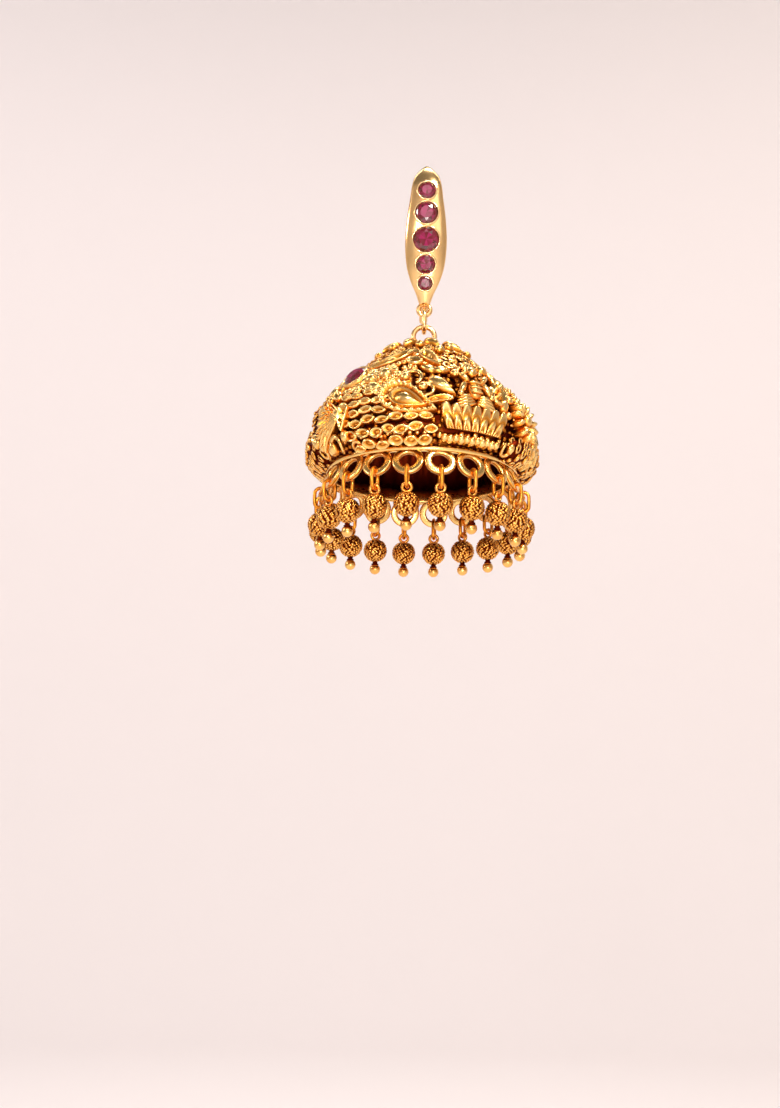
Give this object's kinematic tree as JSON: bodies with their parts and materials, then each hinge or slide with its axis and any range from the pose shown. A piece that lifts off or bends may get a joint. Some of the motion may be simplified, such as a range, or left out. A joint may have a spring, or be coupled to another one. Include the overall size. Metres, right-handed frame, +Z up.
{
  "type": "jhumka earring",
  "caption": "Jhumka earring in antique gold: ear hook with five red stones, a relief-cast bell, a gallery of rings and knurled bead drops.",
  "frame": {"origin": "underside of the ear wire's arch, where the earring hangs", "axes": "+Z up, the axis of the hanging bell is the Z axis, -Y is the front with the jewelled plate, +X is the wearer-facing viewer's right"},
  "size_m": [0.0238, 0.0246, 0.0429],
  "materials": {
    "antique_gold": "gold plated cast brass, satin, with dark red-brown patina in the recesses and bright high points",
    "polished_gold": "gold plated brass, polished",
    "ruby": "faceted red stone, polished"
  },
  "bodies": {
    "hook": {"ear_hook": "polished_gold", "hook_ruby_1": "ruby", "hook_ruby_2": "ruby", "hook_ruby_3": "ruby", "hook_ruby_4": "ruby", "hook_ruby_5": "ruby"},
    "link": {"jump_link": "polished_gold"},
    "drop": {"jhumka_dome": "antique_gold", "dome_ruby_front": "ruby", "dome_ruby_back": "ruby", "drop_link_01": "polished_gold", "drop_link_02": "polished_gold", "drop_link_03": "polished_gold", "drop_link_04": "polished_gold", "drop_link_05": "polished_gold", "drop_link_06": "polished_gold", "drop_link_07": "polished_gold", "drop_link_08": "polished_gold", "drop_link_09": "polished_gold", "drop_link_10": "polished_gold", "drop_link_11": "polished_gold", "drop_link_12": "polished_gold", "drop_link_13": "polished_gold", "drop_link_14": "polished_gold", "drop_link_15": "polished_gold", "drop_link_16": "polished_gold", "drop_link_17": "polished_gold", "drop_link_18": "polished_gold", "drop_link_19": "polished_gold", "drop_link_20": "polished_gold", "bead_drop_01": "antique_gold", "bead_drop_02": "antique_gold", "bead_drop_03": "antique_gold", "bead_drop_04": "antique_gold", "bead_drop_05": "antique_gold", "bead_drop_06": "antique_gold", "bead_drop_07": "antique_gold", "bead_drop_08": "antique_gold", "bead_drop_09": "antique_gold", "bead_drop_10": "antique_gold", "bead_drop_11": "antique_gold", "bead_drop_12": "antique_gold", "bead_drop_13": "antique_gold", "bead_drop_14": "antique_gold", "bead_drop_15": "antique_gold", "bead_drop_16": "antique_gold", "bead_drop_17": "antique_gold", "bead_drop_18": "antique_gold", "bead_drop_19": "antique_gold", "bead_drop_20": "antique_gold"}
  },
  "joints": [
    {"name": "link_swing", "type": "hinge", "parent": "hook", "child": "link", "pos_m": [0, 0, -0.01592], "axis": [1, 0, 0], "range_deg": [-30, 30]},
    {"name": "bell_swing", "type": "hinge", "parent": "link", "child": "drop", "pos_m": [0, 0, -0.01779], "axis": [0, 1, 0], "range_deg": [-30, 30]}
  ]
}
